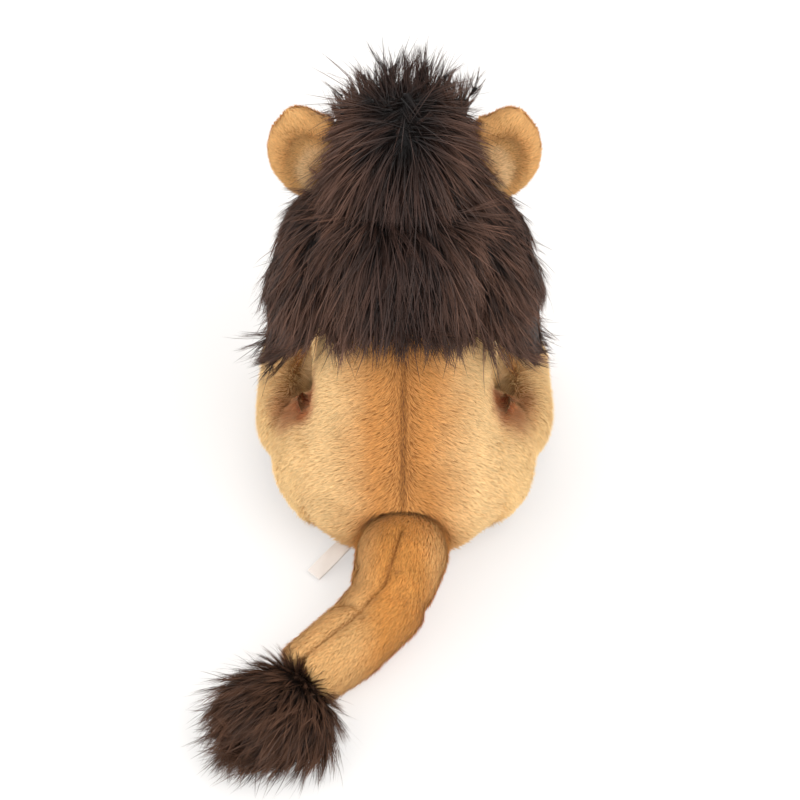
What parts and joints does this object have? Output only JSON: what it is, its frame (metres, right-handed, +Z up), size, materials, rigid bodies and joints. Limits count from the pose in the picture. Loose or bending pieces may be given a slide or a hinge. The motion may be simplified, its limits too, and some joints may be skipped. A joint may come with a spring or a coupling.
{
  "type": "plush lion",
  "caption": "Sitting stuffed toy lion with a dark shaggy mane, round ears, upright forelegs, folded hind legs and a curled tail with a tuft.",
  "frame": {"origin": "on the floor, in the middle of the flat patch of the seat", "axes": "-Y the way the lion faces, +X to its left, +Z up; the tail runs back along +Y"},
  "size_m": [0.2005, 0.3437, 0.2815],
  "materials": {
    "plush_tan": "short pile plush, golden tan",
    "plush_belly": "short pile plush, pale tan",
    "plush_cream": "short pile plush, cream",
    "plush_ear_rim": "short pile plush, orange brown",
    "plush_ear_inner": "short pile plush, beige",
    "mane_pile": "long shaggy pile, dark brown",
    "fibre_fill": "white fibre fill",
    "label_satin": "white satin ribbon, blank",
    "nose_plastic": "dark brown, satin",
    "eye_plastic": "amber and black, glossy",
    "washer_plastic": "white, matt"
  },
  "bodies": {
    "torso": {"back_panel_left": "plush_tan", "back_panel_right": "plush_tan", "belly_panel": "plush_belly", "torso_stuffing": "fibre_fill", "mane_chest": "mane_pile", "blank_label": "label_satin"},
    "neck": {"neck_wad": "fibre_fill"},
    "head": {"head_cover": "plush_tan", "head_stuffing": "fibre_fill", "muzzle": "plush_cream", "nose": "nose_plastic", "eye_left": "eye_plastic", "eye_right": "eye_plastic", "eye_washer_left": "washer_plastic", "eye_washer_right": "washer_plastic", "mane_crown": "mane_pile", "mane_nape": "mane_pile", "mane_side_left": "mane_pile", "mane_side_right": "mane_pile"},
    "ear_left": {"ear_back_left": "plush_ear_rim", "ear_lining_left": "plush_ear_inner"},
    "foreleg_left": {"foreleg_cover_left": "plush_tan", "foreleg_stuffing_left": "fibre_fill"},
    "hind_leg_left": {"hind_leg_cover_left": "plush_tan", "hind_leg_stuffing_left": "fibre_fill"},
    "ear_right": {"ear_back_right": "plush_ear_rim", "ear_lining_right": "plush_ear_inner"},
    "foreleg_right": {"foreleg_cover_right": "plush_tan", "foreleg_stuffing_right": "fibre_fill"},
    "hind_leg_right": {"hind_leg_cover_right": "plush_tan", "hind_leg_stuffing_right": "fibre_fill"},
    "tail_base": {"tail_base_cover": "plush_tan", "tail_base_stuffing": "fibre_fill"},
    "tail_end": {"tail_end_cover": "plush_tan", "tail_end_stuffing": "fibre_fill", "tail_tuft": "mane_pile"}
  },
  "joints": [
    {"name": "neck_turn", "type": "hinge", "parent": "torso", "child": "neck", "pos_m": [0, -0.044, 0.18], "axis": [0, 0, 1], "range_deg": [-20, 20], "stiffness_Nm_per_rad": 1},
    {"name": "head_nod", "type": "hinge", "parent": "neck", "child": "head", "pos_m": [0, -0.044, 0.18], "axis": [1, 0, 0], "range_deg": [-5, 12], "stiffness_Nm_per_rad": 4},
    {"name": "ear_flex_left", "type": "hinge", "parent": "head", "child": "ear_left", "pos_m": [0.04636, -0.06, 0.22242], "axis": [-0.2588, 0, 0.9659], "range_deg": [-20, 20], "stiffness_Nm_per_rad": 0.1},
    {"name": "foreleg_swing_left", "type": "hinge", "parent": "torso", "child": "foreleg_left", "pos_m": [0.033, -0.054, 0.138], "axis": [-1, 0, 0], "range_deg": [0, 35], "stiffness_Nm_per_rad": 1},
    {"name": "hind_leg_lift_left", "type": "hinge", "parent": "torso", "child": "hind_leg_left", "pos_m": [0.03, -0.007, 0.0445], "axis": [-1, 0, 0], "range_deg": [0, 20], "stiffness_Nm_per_rad": 1},
    {"name": "ear_flex_right", "type": "hinge", "parent": "head", "child": "ear_right", "pos_m": [-0.04636, -0.06, 0.22242], "axis": [0.2588, 0, 0.9659], "range_deg": [-20, 20], "stiffness_Nm_per_rad": 0.1},
    {"name": "foreleg_swing_right", "type": "hinge", "parent": "torso", "child": "foreleg_right", "pos_m": [-0.033, -0.054, 0.138], "axis": [-1, 0, 0], "range_deg": [0, 35], "stiffness_Nm_per_rad": 1},
    {"name": "hind_leg_lift_right", "type": "hinge", "parent": "torso", "child": "hind_leg_right", "pos_m": [-0.03, -0.007, 0.0445], "axis": [-1, 0, 0], "range_deg": [0, 20], "stiffness_Nm_per_rad": 1},
    {"name": "tail_lift", "type": "hinge", "parent": "torso", "child": "tail_base", "pos_m": [0, 0.058, 0.032], "axis": [1, 0, 0], "range_deg": [0, 20], "stiffness_Nm_per_rad": 1},
    {"name": "tail_swing", "type": "hinge", "parent": "tail_base", "child": "tail_end", "pos_m": [0.009, 0.09, 0.0215], "axis": [0, 0, 1], "range_deg": [-4, 36], "stiffness_Nm_per_rad": 0.3}
  ]
}
